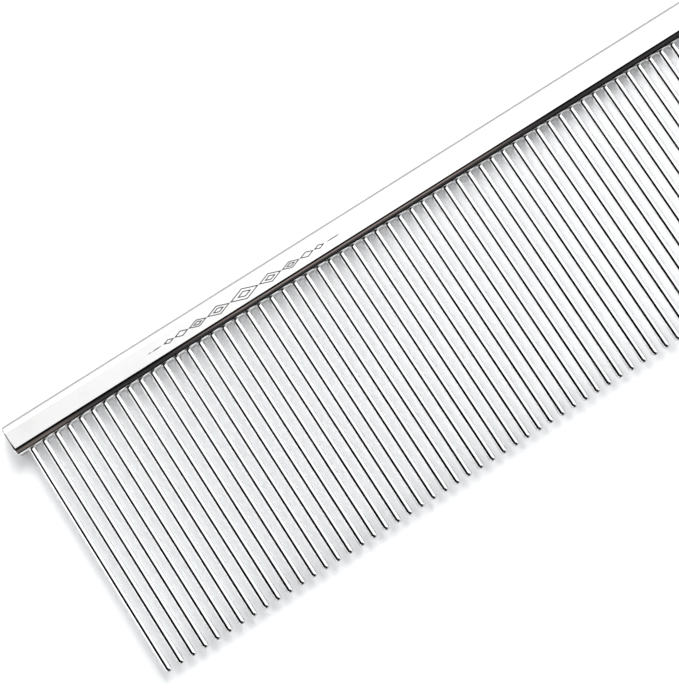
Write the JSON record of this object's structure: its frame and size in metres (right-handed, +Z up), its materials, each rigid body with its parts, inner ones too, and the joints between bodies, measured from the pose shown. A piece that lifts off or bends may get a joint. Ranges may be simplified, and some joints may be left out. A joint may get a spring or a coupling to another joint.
{
  "type": "grooming comb",
  "caption": "Flat-lying steel grooming comb: a slim bevelled bar spine with a long row of fine, straight, round-tipped tines pressed into its nose.",
  "frame": {"origin": "middle of the spine's lower flat face, at half its length and half its depth", "axes": "+X along the spine, +Y from the tines towards the spine's back, +Z up, square to the comb's flat faces"},
  "size_m": [0.1906, 0.0426, 0.004],
  "materials": {
    "spine_chrome": "mirror polished",
    "tine_steel": "polished"
  },
  "bodies": {
    "root": {"spine": "spine_chrome", "tine_pair_01": "tine_steel", "tine_pair_02": "tine_steel", "tine_pair_03": "tine_steel", "tine_pair_04": "tine_steel", "tine_pair_05": "tine_steel", "tine_pair_06": "tine_steel", "tine_pair_07": "tine_steel", "tine_pair_08": "tine_steel", "tine_pair_09": "tine_steel", "tine_pair_10": "tine_steel", "tine_pair_11": "tine_steel", "tine_pair_12": "tine_steel", "tine_pair_13": "tine_steel", "tine_pair_14": "tine_steel", "tine_pair_15": "tine_steel", "tine_pair_16": "tine_steel", "tine_pair_17": "tine_steel", "tine_pair_18": "tine_steel", "tine_pair_19": "tine_steel", "tine_pair_20": "tine_steel", "tine_pair_21": "tine_steel", "tine_pair_22": "tine_steel", "tine_pair_23": "tine_steel", "tine_pair_24": "tine_steel", "tine_pair_25": "tine_steel", "tine_pair_26": "tine_steel", "tine_pair_27": "tine_steel", "tine_pair_28": "tine_steel", "tine_pair_29": "tine_steel", "tine_pair_30": "tine_steel", "tine_pair_31": "tine_steel", "tine_pair_32": "tine_steel", "tine_pair_33": "tine_steel", "tine_pair_34": "tine_steel", "tine_pair_35": "tine_steel", "tine_pair_36": "tine_steel", "tine_pair_37": "tine_steel", "tine_pair_38": "tine_steel", "tine_pair_39": "tine_steel", "tine_pair_40": "tine_steel", "tine_pair_41": "tine_steel", "tine_pair_42": "tine_steel", "tine_pair_43": "tine_steel", "tine_pair_44": "tine_steel", "tine_pair_45": "tine_steel", "tine_pair_46": "tine_steel"}
  },
  "joints": []
}
